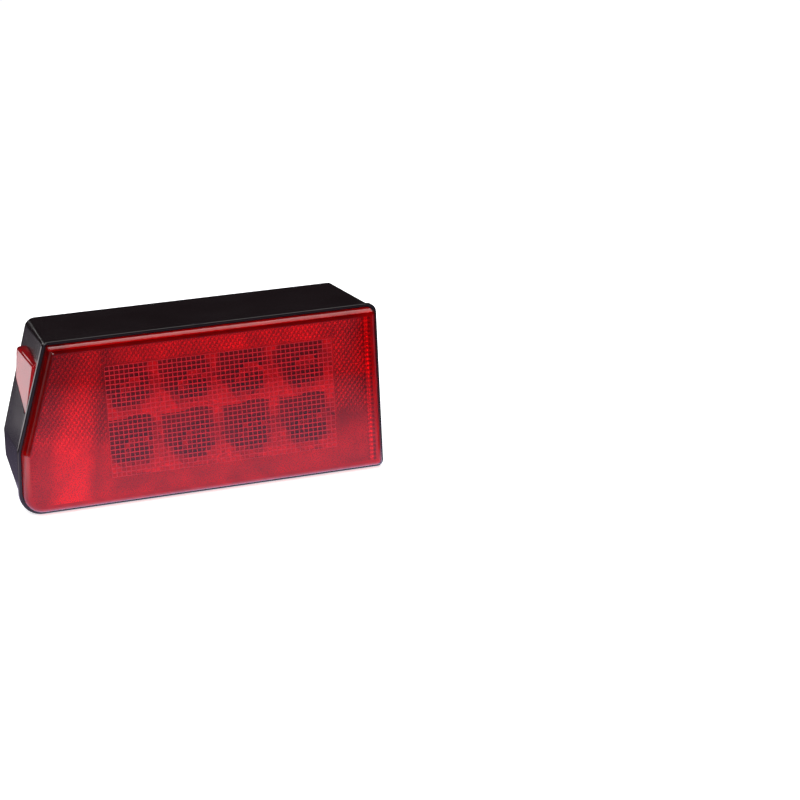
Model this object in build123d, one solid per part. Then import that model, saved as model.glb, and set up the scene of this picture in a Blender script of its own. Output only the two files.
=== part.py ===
from build123d import *
import os
from math import atan2, cos, radians, sin

# A low-profile LED trailer tail light for the driver's side. Millimetres, +Z up. The main lens faces -Y and the
# outer end, with its side marker, is at -X. The origin is on the mounting face, halfway between the two studs.

# Driving dimensions
width = 203.0
height = 92.5
depth = 71.0  # mounting face to the front of the bezel
lens_proud = 7.0  # bezel to the flat front of the lens
stud_above_bottom = 48.0

# Housing
bezel_thickness = 3.5
bezel_lip = 1.0  # how far the bezel stands outside the body behind it
wall = 3.0
floor_thickness = 3.0
bezel_radii = (12.0, 6.0, 3.0, 5.0, 3.5)
back_radii = (8.0, 6.0, 6.0, 3.5, 4.0)
end_slant = 18.2  # how far the outer end leans in above its kink
end_lean = 1.6  # the same below the kink
kink_height = 35.2
seat_inset = 1.7
seat_depth = 4.0
gate_mark = (5.0, 1.6, 0.5)
bezel_edge_radius = 0.7
back_edge_radius = 1.0

# Lenses
seal_thickness = 1.0
seat_play = 0.2
lens_wall = 2.0
face_thickness = 2.5
bevel = 3.0
marker_tilt = 12.0  # marker face from vertical, in degrees
marker_top = 31.5
marker_face_x = -87.0  # marker face at its top edge
marker_wall = 2.0
marker_recess = 1.2  # how deep the marker is let into the wall
marker_edge_radius = 0.8
marker_lap = 1.6  # how far the wall reaches under the marker's edge
window_size = (62.0, 30.0)
window_x = 10.0
window_y = -38.0
window_step = 1.6  # how far the window's flange laps the housing on each side
window_proud = 1.0

# Lamp unit behind the main lens
optic_centre = (10.8, -1.2)
led_pitch_x = 32.0
led_pitch_z = 31.5
led_centre = (13.5, -4.6)
led_columns = 4
led_rows = 2
cup_mouth_radius = 14.0
cup_base_radius = 7.0
cup_wall = 1.0
reflector_front = -74.6
reflector_size = (131.2, 70.0)
reflector_plate = 1.4
peg_radius = 1.5
board_front = -66.5
board_thickness = 1.6
board_size = (144.0, 70.0)
board_post_radius = 4.0
board_screw_spread = (138.0, 58.0)
dome_radius = 6.0
led_body = 8.0
led_body_height = 1.5
led_tab = (1.2, 1.6, 0.4)
resistor = (3.2, 0.7, 1.6)
diode = (4.4, 2.3, 2.6)
regulator = (6.6, 2.3, 6.0)
regulator_tab = (5.2, 0.6, 2.2)
capacitor_radius = 3.0
capacitor_height = 5.4
header = (12.0, 7.0, 5.0)
header_pin = (0.64, 10.0, 0.64)

# Side marker and number-plate boards
side_board_size = (20.0, 42.0)
side_board_centre = (-77.5, -42.0, 17.5)
side_led_pitch = 13.0
side_screw_pitch = 35.0
plate_board_size = (82.0, 16.0)
plate_board_drop = 13.0
plate_led_pitch = 26.0
plate_screw_pitch = 73.0
small_dome_radius = 2.4
small_led_body = 5.0
small_led_height = 1.2
small_post_radius = 3.0
small_post_reach = 20.0

# Fastenings and wiring
stud_radius = 3.175
stud_neck_radius = 3.9  # the ribbed neck that the body grips
stud_spacing = 50.8
stud_length = 25.4  # free length behind the mounting face
stud_head_radius = 7.0
stud_head_thickness = 2.5
stud_boss_radius = 11.0
stud_boss_height = 9.0
screw_radius = 1.4
screw_head_radius = 2.8
screw_head_height = 1.8
screw_length = 9.0
grommet_z = -24.0
grommet_hole_radius = 8.0
grommet_lip = 2.5
grommet_lip_thickness = 1.5
cable_hole_radius = 3.0
pin_pitch = 4.0
wire_radius = 0.8
wire_gap = 2.4

# Places worked out from them
half = width / 2
bottom = -stud_above_bottom
top = bottom + height
front = -depth
body_front = front + bezel_thickness
board_back = board_front + board_thickness
seat_floor = front + seat_depth
skirt_back = seat_floor - seal_thickness
lens_front = front - lens_proud
bevel_start = lens_front + bevel

bezel_corners = [
    (-half, bottom),
    (-half + end_lean, bottom + kink_height),
    (-half + end_lean + end_slant, top),
    (half, top),
    (half, bottom),
]
back_corners = [
    (-half + 6.2, bottom + 8.0),
    (-half + 6.6, bottom + 29.7),
    (-half + 24.2, top - 2.1),
    (half - 2.2, top - 2.1),
    (half - 2.2, bottom + 8.0),
]
marker_corners = [
    (-64.0, marker_top),
    (-16.2, marker_top),
    (-25.5, 15.0),
    (-64.0, 2.5),
]
marker_radii = (1.5, 1.5, 6.0, 1.5)


def inset(corners, distance):
    """The corners, listed clockwise, of the outline this far inside another."""
    moved = []
    for i, corner in enumerate(corners):
        here = Vector(*corner)
        along = (here - Vector(*corners[i - 1])).normalized()
        onward = (Vector(*corners[(i + 1) % len(corners)]) - here).normalized()
        first = Vector(along.Y, -along.X)
        second = Vector(onward.Y, -onward.X)
        corner_point = here + (first + second) * (distance / (1 + first.dot(second)))
        moved.append((corner_point.X, corner_point.Y))
    return moved


def rounded(corners, radii):
    """A flat outline with each corner rounded to its own radius."""
    sketch = Polygon(*corners, align=None)
    for corner, radius in zip(corners, radii):
        vertex = sketch.vertices().sort_by_distance(Vector(*corner))[0]
        sketch = fillet(vertex, radius)
    return sketch


def outline(corners, radii, y, distance=0.0):
    """An outline seen from the front, this far inside the corners, in the plane at y."""
    small = [max(radius - distance, 0.6) for radius in radii]
    return Plane.XZ.offset(-y) * rounded(inset(corners, distance), small)


def span(first, second):
    """The solid between two outlines with the same corners."""
    return loft([first.face(), second.face()], ruled=True)


def slab(corners, radii, y_back, y_front, distance=0.0):
    """A plate with an upright edge between two depths."""
    return extrude(outline(corners, radii, y_back, distance), y_back - y_front, dir=(0, -1, 0))


def rod(radius, start, end):
    """A round bar between two points."""
    line = Vector(*end) - Vector(*start)
    return Plane(start, z_dir=line) * Cylinder(radius, line.length, align=(Align.CENTER, Align.CENTER, Align.MIN))


def block(size, centre):
    """A box of this size around a point."""
    return Pos(*centre) * Box(*size)


def cone(base_radius, tip_radius, start, end):
    """A round taper between two points."""
    line = Vector(*end) - Vector(*start)
    taper = Cone(base_radius, tip_radius, line.length, align=(Align.CENTER, Align.CENTER, Align.MIN))
    return Plane(start, z_dir=line) * taper


def dome(radius, centre, direction):
    """A half ball that stands on a point and points this way."""
    half_ball = Sphere(radius, arc_size1=0, align=(Align.CENTER, Align.CENTER, Align.MIN))
    return Plane(centre, z_dir=direction) * half_ball


def save(name, *solids):
    """Write one named piece, as one solid or as a group of separate ones."""
    shape = solids[0] if len(solids) == 1 else Compound(children=list(solids))
    shape.label = name
    export_step(shape, f"parts/{name}.step")


def led_places():
    """Centre of each main LED, as x and z."""
    for row in range(led_rows):
        for column in range(led_columns):
            x = led_centre[0] + (column - (led_columns - 1) / 2) * led_pitch_x
            z = led_centre[1] + (row - (led_rows - 1) / 2) * led_pitch_z
            yield x, z


def peg_places():
    """Centre of each reflector peg, between the two rows of cups, as x and z."""
    return [(led_centre[0] + side * led_pitch_x, led_centre[1]) for side in (-1, 1)]


def board_screw_places():
    """Centre of each main board screw, as x and z."""
    for side in (-1, 1):
        for end in (-1, 1):
            x = optic_centre[0] + side * board_screw_spread[0] / 2
            z = optic_centre[1] + end * board_screw_spread[1] / 2
            yield x, z


def stud_places():
    """Centre of each mounting stud, along x."""
    return (-stud_spacing / 2, stud_spacing / 2)


def make_body_form():
    """The outer form of the body behind the bezel, before it is hollowed."""
    form = span(
        outline(back_corners, back_radii, 0.0),
        outline(bezel_corners, bezel_radii, body_front, bezel_lip),
    )
    return fillet(form.faces().sort_by(Axis.Y)[-1].edges(), back_edge_radius)


body_form = make_body_form()

# The marker's outer face, with x towards the front and y up
marker_face = Plane(
    origin=(marker_face_x, 0, marker_top),
    x_dir=(0, -1, 0),
    z_dir=(-cos(radians(marker_tilt)), 0, sin(radians(marker_tilt))),
)

# The underside of the body rises to the back, and the number-plate window lies in that slope
slope_run = -body_front
slope_rise = back_corners[0][1] - (bottom + bezel_lip)
slope = atan2(slope_rise, slope_run)
window_z = bottom + bezel_lip + slope_rise * (window_y - body_front) / slope_run
window_frame = Plane(
    origin=(window_x, window_y, window_z),
    x_dir=(1, 0, 0),
    z_dir=(0, sin(slope), -cos(slope)),
)

# Front faces of the two small boards, each pointing out of its window
side_board_plane = Plane(origin=side_board_centre, x_dir=marker_face.x_dir, z_dir=marker_face.z_dir)
plate_board_plane = window_frame.offset(-plate_board_drop)
side_led_places = [(side * side_led_pitch / 2, 3.0) for side in (-1, 1)]
side_screw_places = [(0.0, side * side_screw_pitch / 2) for side in (-1, 1)]
plate_led_places = [(side * plate_led_pitch / 2, 0.0) for side in (-1, 1)]
plate_screw_places = [(side * plate_screw_pitch / 2, 0.0) for side in (-1, 1)]


def point_on(plane, u, v, out):
    """A point given along, across and out from a plane."""
    return plane.from_local_coords(Vector(u, v, out))


def marker_prism(distance):
    """The marker's outline, this far inside its edge, swept through the outer end of the body."""
    small = [max(radius - distance, 0.6) for radius in marker_radii]
    flat = rounded(inset(marker_corners, distance), small)
    return extrude(Plane.YZ.offset(-half - 20.0) * flat, 60.0, dir=(1, 0, 0))


def behind_marker_face(back):
    """Everything on the inner side of the marker's outer face, moved in by back."""
    return marker_face.offset(-back) * Box(400, 400, 400, align=(Align.CENTER, Align.CENTER, Align.MAX))


def marker_form():
    """The room that the marker takes up, from its recess in the wall to its outer face."""
    recess_floor = span(
        outline(back_corners, back_radii, 0.0, marker_recess),
        outline(bezel_corners, bezel_radii, body_front, bezel_lip + marker_recess),
    )
    return (marker_prism(0.0) & behind_marker_face(0.0)) - recess_floor


def window_flange():
    """The plate of the number-plate window that lies in the step around its opening."""
    return window_frame.offset(-window_step / 2) * Box(window_size[0], window_size[1], window_step)


def window_opening(extent):
    """The opening under the window, reaching this far to each side of the body's surface."""
    width_inside = window_size[0] - 2 * window_step
    length_inside = window_size[1] - 2 * window_step
    return window_frame * Box(width_inside, length_inside, 2 * extent)


def stud(x):
    """One mounting stud: a head and neck inside the body and a shank that leaves the back."""
    head_front = -stud_boss_height + 2.0
    head = rod(stud_head_radius, (x, head_front + stud_head_thickness, 0), (x, head_front, 0))
    neck = rod(stud_neck_radius, (x, 0, 0), (x, head_front, 0))
    return head + neck + rod(stud_radius, (x, stud_length, 0), (x, 0, 0))


def grommet_form():
    """The grommet before its hole: two lips and the neck between them."""
    lip_radius = grommet_hole_radius + grommet_lip
    neck = rod(grommet_hole_radius, (0, 0, grommet_z), (0, -floor_thickness, grommet_z))
    outer_lip = rod(lip_radius, (0, 0, grommet_z), (0, -grommet_lip_thickness, grommet_z))
    inner_back = -floor_thickness
    inner_lip = rod(lip_radius, (0, inner_back, grommet_z), (0, inner_back - grommet_lip_thickness, grommet_z))
    return neck + outer_lip + inner_lip


def make_housing():
    """The black body: walls, floor, bezel with its lens seat, posts and openings."""
    bezel = slab(bezel_corners, bezel_radii, body_front, front)
    bezel = fillet(bezel.faces().sort_by(Axis.Y)[0].edges(), bezel_edge_radius)
    bezel = fillet(bezel.faces().sort_by(Axis.Y)[-1].edges(), bezel_edge_radius)
    cavity = span(
        outline(back_corners, back_radii, -floor_thickness, wall),
        outline(bezel_corners, bezel_radii, seat_floor, bezel_lip + wall),
    )
    seat = slab(bezel_corners, bezel_radii, seat_floor, front - 1.0, seat_inset)
    shell = body_form + bezel - cavity - seat
    for x, z in board_screw_places():
        post = rod(board_post_radius, (x, -floor_thickness, z), (x, board_back, z))
        shell += post - rod(screw_radius, (x, board_back + screw_length, z), (x, board_back, z))
    for x in stud_places():
        shell += rod(stud_boss_radius, (x, -floor_thickness, 0), (x, -stud_boss_height, 0))
        shell -= stud(x)
    for plane, places in ((side_board_plane, side_screw_places), (plate_board_plane, plate_screw_places)):
        for u, v in places:
            post = rod(small_post_radius, point_on(plane, u, v, 0), point_on(plane, u, v, small_post_reach))
            shell += post & body_form
            shell -= small_screw(plane, u, v)
    mark_y = front + bezel_thickness / 2
    shell += block(gate_mark, (2.0, mark_y, top + gate_mark[2] / 2))
    shell -= marker_form()
    shell -= marker_prism(marker_wall + marker_lap)
    shell -= window_flange()
    shell -= window_opening(8.0)
    shell -= grommet_form()
    return shell


def make_main_lens():
    """The red front lens: a skirt that enters the bezel, a bevel all round and a flat face."""
    edge = seat_inset + seat_play
    inner = edge + lens_wall
    skirt = slab(bezel_corners, bezel_radii, skirt_back, bevel_start, edge)
    bevelled = span(
        outline(bezel_corners, bezel_radii, bevel_start, edge),
        outline(bezel_corners, bezel_radii, lens_front, edge + bevel),
    )
    hollow = slab(bezel_corners, bezel_radii, skirt_back, bevel_start, inner)
    inner_front = lens_front + face_thickness
    inner_bevel = span(
        outline(bezel_corners, bezel_radii, bevel_start, inner),
        outline(bezel_corners, bezel_radii, inner_front, inner + (bevel_start - inner_front) / 2),
    )
    return skirt + bevelled - hollow - inner_bevel


def make_lens_seal():
    """The soft ring under the lens skirt."""
    edge = seat_inset + seat_play
    ring = slab(bezel_corners, bezel_radii, seat_floor, skirt_back, edge)
    return ring - slab(bezel_corners, bezel_radii, seat_floor, skirt_back, edge + lens_wall)


def make_side_marker_lens():
    """The red marker on the outer end, open towards its lamps."""
    form = marker_form()
    outer_face = form.faces().sort_by(Axis((0, 0, 0), marker_face.z_dir))[-1]
    form = fillet(outer_face.edges(), marker_edge_radius)
    return form - (marker_prism(marker_wall) & behind_marker_face(marker_wall))


def make_plate_window():
    """The clear window in the underside that lights the number plate."""
    pane = window_frame.offset(window_proud / 2) * Box(window_size[0] - 4.0, window_size[1] - 4.0, window_proud)
    return window_flange() + pane


def make_reflector():
    """The bright plate with a round cup around each LED, an apron and two pegs."""
    x, z = optic_centre
    back = board_front
    middle = (reflector_front + back) / 2
    deep = back - reflector_front
    outside = block((reflector_size[0], deep, reflector_size[1]), (x, middle, z))
    inside_size = (reflector_size[0] - 2 * cup_wall, deep, reflector_size[1] - 2 * cup_wall)
    shape = outside - block(inside_size, (x, middle + reflector_plate, z))
    for cup_x, cup_z in led_places():
        ends = ((cup_x, back, cup_z), (cup_x, reflector_front, cup_z))
        shape += cone(cup_base_radius + cup_wall, cup_mouth_radius + cup_wall, *ends)
    for cup_x, cup_z in led_places():
        ends = ((cup_x, back, cup_z), (cup_x, reflector_front, cup_z))
        shape -= cone(cup_base_radius, cup_mouth_radius, *ends)
    for peg_x, peg_z in peg_places():
        peg_front = reflector_front + reflector_plate / 2
        shape += rod(peg_radius, (peg_x, board_back + 1.0, peg_z), (peg_x, peg_front, peg_z))
    return shape


def make_main_board():
    """The lamp board, with holes for its screws and for the reflector's pegs."""
    x, z = optic_centre
    board = block((board_size[0], board_thickness, board_size[1]), (x, board_front + board_thickness / 2, z))
    for hole_x, hole_z in board_screw_places():
        board -= rod(screw_radius, (hole_x, board_back, hole_z), (hole_x, board_front, hole_z))
    for peg_x, peg_z in peg_places():
        board -= rod(peg_radius, (peg_x, board_back, peg_z), (peg_x, board_front, peg_z))
    return board


def make_led_packages():
    """The square body of each main LED."""
    y = board_front - led_body_height / 2
    return [block((led_body, led_body_height, led_body), (x, y, z)) for x, z in led_places()]


def make_led_terminals():
    """Two bent tabs on each side of each main LED, soldered to the board."""
    tabs = []
    y = board_front - led_tab[2] / 2
    for x, z in led_places():
        for side in (-1, 1):
            for end in (-1, 1):
                tab_x = x + side * (led_body + led_tab[0]) / 2
                tabs.append(block((led_tab[0], led_tab[2], led_tab[1]), (tab_x, y, z + end * led_body / 4)))
    return tabs


def make_led_domes():
    """The clear dome over each main LED."""
    return [dome(dome_radius, (x, board_front - led_body_height, z), (0, -1, 0)) for x, z in led_places()]


def screw(start, tip, head_out):
    """A round-headed screw: its head stands on start and its shank ends at tip."""
    return rod(screw_radius, start, tip) + rod(screw_head_radius, start, head_out)


def make_board_screws():
    """The screws that hold the main board on its posts."""
    screws = []
    for x, z in board_screw_places():
        tip = (x, board_back + screw_length - 1.0, z)
        screws.append(screw((x, board_front, z), tip, (x, board_front - screw_head_height, z)))
    return screws


def small_screw(plane, u, v):
    """A screw that holds a small board, from its back, on its post."""
    back = point_on(plane, u, v, -board_thickness)
    tip = point_on(plane, u, v, screw_length - 3.0)
    return screw(back, tip, point_on(plane, u, v, -board_thickness - screw_head_height))


def make_small_board(plane, size, places):
    """A small lamp board behind its plane, with a hole for each screw."""
    board = plane.offset(-board_thickness / 2) * Box(size[0], size[1], board_thickness)
    for u, v in places:
        board -= small_screw(plane, u, v)
    return board


def make_small_led_packages(plane, places):
    """The square bodies of a small board's LEDs."""
    package = Box(small_led_body, small_led_body, small_led_height, align=(Align.CENTER, Align.CENTER, Align.MIN))
    return [plane * Pos(u, v, 0) * package for u, v in places]


def make_small_led_domes(plane, places):
    """The clear domes of a small board's LEDs."""
    return [dome(small_dome_radius, point_on(plane, u, v, small_led_height), plane.z_dir) for u, v in places]


def make_back_components(size, places):
    """Square-cornered components on the back of the main board."""
    return [block(size, (x, board_back + size[1] / 2, z)) for x, z in places]


def jumper_wires(plane, start_x, start_z, spread_along_x):
    """Two wires from the back of the main board, round a bend, to the back of a small board."""
    wires = []
    for side in (-1, 1):
        shift = side * wire_gap / 2
        x = start_x + (shift if spread_along_x else 0)
        z = start_z + (0 if spread_along_x else shift)
        end = point_on(plane, shift if spread_along_x else 0, 0 if spread_along_x else shift, -board_thickness)
        before_end = end - plane.z_dir * 10.0
        corner = Vector(x, before_end.Y, z)
        path = FilletPolyline((x, board_back, z), corner, before_end, end, radius=3.0)
        section = Plane((x, board_back, z), z_dir=(0, 1, 0)) * Circle(wire_radius)
        wires.append(sweep(section, path))
    return wires


def make_header():
    """The plug on the back of the main board that takes the three cores of the supply cable."""
    body = block(header, (0, board_back + header[1] / 2, grommet_z))
    for pin in make_header_pins():
        body -= pin
    return body


def make_header_pins():
    """The three pins in the header."""
    y = board_back + header_pin[1] / 2
    return [block(header_pin, (step * pin_pitch, y, grommet_z)) for step in (-1, 0, 1)]


def make_grommet():
    """The rubber grommet in the back, with a hole for the supply cable."""
    return grommet_form() - rod(cable_hole_radius, (0, 1.0, grommet_z), (0, -2 * floor_thickness, grommet_z))


os.makedirs("parts", exist_ok=True)
save("housing", make_housing())
save("main_lens", make_main_lens())
save("lens_seal", make_lens_seal())
save("side_marker_lens", make_side_marker_lens())
save("plate_window", make_plate_window())
save("reflector", make_reflector())
save("main_board", make_main_board())
save("board_screws", *make_board_screws())
save("led_packages", *make_led_packages())
save("led_terminals", *make_led_terminals())
save("led_domes", *make_led_domes())
save("resistors", *make_back_components(resistor, [(x, 14.0) for x in (-40.0, -28.0, -16.0, 38.0, 50.0, 62.0)]))
save("diodes", *make_back_components(diode, [(x, -24.0) for x in (20.0, 30.0, 40.0)]))
save("regulator", *make_back_components(regulator, [(28.0, 8.0)]))
save("regulator_tab", *make_back_components(regulator_tab, [(28.0, 8.0 + (regulator[2] + regulator_tab[2]) / 2)]))
capacitor_places = [(44.0, 4.0), (54.0, 4.0)]
save(
    "capacitors",
    *[rod(capacitor_radius, (x, board_back, z), (x, board_back + capacitor_height, z)) for x, z in capacitor_places],
)
save("supply_header", make_header())
save("header_pins", *make_header_pins())
save("side_board", make_small_board(side_board_plane, side_board_size, side_screw_places))
save("side_board_screws", *[small_screw(side_board_plane, u, v) for u, v in side_screw_places])
save("side_led_packages", *make_small_led_packages(side_board_plane, side_led_places))
save("side_led_domes", *make_small_led_domes(side_board_plane, side_led_places))
save("plate_board", make_small_board(plate_board_plane, plate_board_size, plate_screw_places))
save("plate_board_screws", *[small_screw(plate_board_plane, u, v) for u, v in plate_screw_places])
save("plate_led_packages", *make_small_led_packages(plate_board_plane, plate_led_places))
save("plate_led_domes", *make_small_led_domes(plate_board_plane, plate_led_places))
save("side_jumper_wires", *jumper_wires(side_board_plane, -48.0, 17.5, False))
save("plate_jumper_wires", *jumper_wires(plate_board_plane, -10.0, -28.0, True))
save("wire_grommet", make_grommet())
save("mounting_studs", *[stud(x) for x in stud_places()])
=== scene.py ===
import math

import bmesh
import bpy
import numpy as np
from mathutils import Matrix, Vector


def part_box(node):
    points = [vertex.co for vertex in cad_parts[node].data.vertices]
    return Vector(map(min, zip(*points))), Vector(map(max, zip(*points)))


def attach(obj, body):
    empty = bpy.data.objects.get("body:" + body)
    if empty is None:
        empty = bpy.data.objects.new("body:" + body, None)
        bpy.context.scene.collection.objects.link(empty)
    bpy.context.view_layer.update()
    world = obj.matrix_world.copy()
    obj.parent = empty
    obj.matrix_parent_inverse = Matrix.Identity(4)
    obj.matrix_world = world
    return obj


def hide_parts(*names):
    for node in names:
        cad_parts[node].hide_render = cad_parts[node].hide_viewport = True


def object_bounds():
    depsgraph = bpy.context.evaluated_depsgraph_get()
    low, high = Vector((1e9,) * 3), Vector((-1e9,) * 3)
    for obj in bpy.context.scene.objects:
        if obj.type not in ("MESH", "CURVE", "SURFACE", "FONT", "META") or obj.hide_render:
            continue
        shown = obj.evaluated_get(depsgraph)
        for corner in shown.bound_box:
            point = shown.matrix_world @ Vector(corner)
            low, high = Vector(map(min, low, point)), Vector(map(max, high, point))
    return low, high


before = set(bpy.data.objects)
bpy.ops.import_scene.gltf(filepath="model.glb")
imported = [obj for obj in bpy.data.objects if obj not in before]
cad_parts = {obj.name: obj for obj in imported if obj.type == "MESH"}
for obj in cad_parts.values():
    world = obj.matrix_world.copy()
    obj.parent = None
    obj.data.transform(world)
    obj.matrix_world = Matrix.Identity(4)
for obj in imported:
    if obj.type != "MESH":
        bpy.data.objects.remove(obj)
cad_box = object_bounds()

MM = 0.001


def number_box(node):
    """The lowest and highest corners of a CAD node, in millimetres."""
    low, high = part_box(node)
    return np.array(low) / MM, np.array(high) / MM


# ---------------------------------------------------------------- sizes, in millimetres
# The lamp's outline, seen from the front
housing_low, housing_high = number_box("housing")
half = housing_high[0]
bottom = housing_low[2]
lamp_height = 92.5
top = bottom + lamp_height
end_slant = 18.2  # how far the outer end leans in above its kink
end_lean = 1.6  # the same below the kink
kink_height = 35.2
bezel_radii = (12.0, 6.0, 3.0, 5.0, 3.5)
bezel_corners = [
    (-half, bottom),
    (-half + end_lean, bottom + kink_height),
    (-half + end_lean + end_slant, top),
    (half, top),
    (half, bottom),
]
bezel_thickness = 3.5
bezel_lip = 1.05  # how far the bezel stands outside the body behind it
least_radius = 0.6

# The LEDs and their cups
package_half = 4.0
package_low = number_box("led_packages")[0]
led_counts = (4, 2)
cup_pitch = (32.0, 31.5)
cup_centre = (package_low[0] + package_half, package_low[2] + package_half)

# The main lens
lens_low, lens_high = number_box("main_lens")
lens_front = lens_low[1]
skirt_back = lens_high[1]
lens_edge = half - lens_high[0]
lens_wall = 2.0
face_thickness = 2.5
inner_face = lens_front + face_thickness
bevel = 3.0
shoulder_turn = math.radians(58.0)
shoulder_steps = 14
crease = 0.15  # the small last step from a rounded edge to a flat face
rim_chamfer = (0.25, 0.5)
flat_border = 2.0  # plain strip between the rim and the prisms
prism_border = 2.1

# The pillows, prisms and column of beads moulded behind the lens face
grid_low = (-51.7, -31.8)
cell_count = (48, 24)
cell_size = (2.604, 2.538)
rib_half = (0.23, 0.31)
pillow_height = 0.24
pillow_steps = 4
bead_low = (half - 9.0, -39.2)
bead_count = (1, 28)
bead_size = (1.5, 2.54)
bead_height = 0.55
bead_glint_wave = 2.4  # from one painted bead highlight to the next
prism_step = (1.25, 1.70)
prism_height = 0.80
prism_floor = 0.04
prism_gap = 0.8  # between the pillows and the prisms beside them
prism_overlap = 0.4
prism_right = half - 10.0
fade_height = 30.0  # the prisms grow shallower over this height below the middle
least_prism = 0.12

# The reflector
reflector_plate = 1.4
reflector_wall = 0.6
bowl_mouth = 13.8
bowl_foot = 8.3
bowl_lip = 0.4
bowl_gap = 0.2  # between the foot of a bowl and the board
bowl_steps = 12
collar = ((8.0, 0.5), (7.8, 1.6), (7.4, 2.0), (6.8, 2.0), (6.4, 1.6), (6.4, 0.0))  # radius and height
peg_radius = 1.5
peg_chamfer = 0.4
turned_sides = 64

# The side marker, and the slanted wall that it is let into
marker_tilt = math.radians(12.0)
marker_radii = (1.5, 1.5, 6.0, 1.5)
marker_lengths = (47.8, 38.5)  # front to back, at the top and at the lower corner
marker_heights = (16.5, 29.0)  # down to the lower corner at the back and at the front
marker_recess = 1.2
marker_wall = 2.0
marker_rounding = (2.0, 1.4)
marker_steps = 7
back_kink = (6.6, 29.7)  # inward and up, at the back of the body
back_slant = (17.6, 60.7)

# The studs and the grommet
stud_radius = 3.175
stud_head = 7.0
stud_neck = 3.9
head_thickness = 2.5
thread_pitch = 1.27
thread_depth = 0.38
thread_start = 0.6
thread_lines = 8  # rings of points in one turn of the thread
stud_sides = 48
grommet_hole = 3.0
grommet_waist = 8.0
grommet_sides = 64


# Painted highlight rings and painted dark areas of shade round each LED, drawn by the materials
dome_highlight_radius = 5.5
cup_highlight_radius = 7.1
highlight_skew = -0.35
dark_shift = (-6.3, 4.0)  # from the LED to the middle of its painted dark area
dark_foot = 1.3  # the dark area is rounded below this height, and straight-sided above it
dark_skew = -0.35
dark_edge = (11.6, 14.0)


# ---------------------------------------------------------------- outlines
def corner_directions(corners, i):
    """A corner of a closed outline, with the directions in which the outline reaches and leaves it."""
    here = Vector(corners[i])
    along = (here - Vector(corners[i - 1])).normalized()
    onward = (Vector(corners[(i + 1) % len(corners)]) - here).normalized()
    return here, along, onward


def inset(corners, distance):
    """The corners, listed clockwise, of the outline this far inside another."""
    moved = []
    for i in range(len(corners)):
        here, along, onward = corner_directions(corners, i)
        first = Vector((along.y, -along.x))
        second = Vector((onward.y, -onward.x))
        moved.append(tuple(here + (first + second) * (distance / (1 + first.dot(second)))))
    return moved


def rounded(corners, radii, steps):
    """Points round an outline whose corners, listed clockwise, each have their own radius."""
    points = []
    for i, radius in enumerate(radii):
        here, along, onward = corner_directions(corners, i)
        turn = along.angle(onward)
        start = here - along * (radius * math.tan(turn / 2))
        inward = Vector((along.y, -along.x))
        centre = start + inward * radius
        for step in range(steps + 1):
            arm = Matrix.Rotation(-turn * step / steps, 2) @ (-inward * radius)
            points.append(tuple(centre + arm))
    return points


def front_ring(distance, steps=8):
    """The bezel's outline, this far inside its edge, as x and z."""
    radii = [max(radius - distance, least_radius) for radius in bezel_radii]
    return rounded(inset(bezel_corners, distance), radii, steps)


def softened(profile, radius, steps):
    """A line of points whose inner corners are rounded."""
    line = [tuple(profile[0])]
    for before, corner, after in zip(profile, profile[1:], profile[2:]):
        here = Vector(corner)
        back = (Vector(before) - here).normalized()
        onward = (Vector(after) - here).normalized()
        reach = radius / math.tan(back.angle(onward) / 2)
        first = here + back * reach
        last = here + onward * reach
        for step in range(steps + 1):
            t = step / steps
            line.append(tuple(first * (1 - t) ** 2 + here * (2 * t * (1 - t)) + last * t**2))
    line.append(tuple(profile[-1]))
    return line


def clipped(outline, corners):
    """The part of one convex outline that lies inside another, both listed clockwise."""
    points = [Vector(p) for p in outline]
    for i, corner in enumerate(corners):
        start = Vector(corner)
        along = Vector(corners[(i + 1) % len(corners)]) - start
        inward = Vector((along.y, -along.x)).normalized()
        kept = []
        for j, here in enumerate(points):
            before = points[j - 1]
            side_here = (here - start).dot(inward)
            side_before = (before - start).dot(inward)
            if (side_here >= 0) != (side_before >= 0):
                kept.append(before.lerp(here, side_before / (side_before - side_here)))
            if side_here >= 0:
                kept.append(here)
        points = kept
    return [tuple(p) for p in points]


# ---------------------------------------------------------------- node materials
def grey(level):
    """A colour with the same level of red, green and blue."""
    return (level, level, level)


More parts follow.
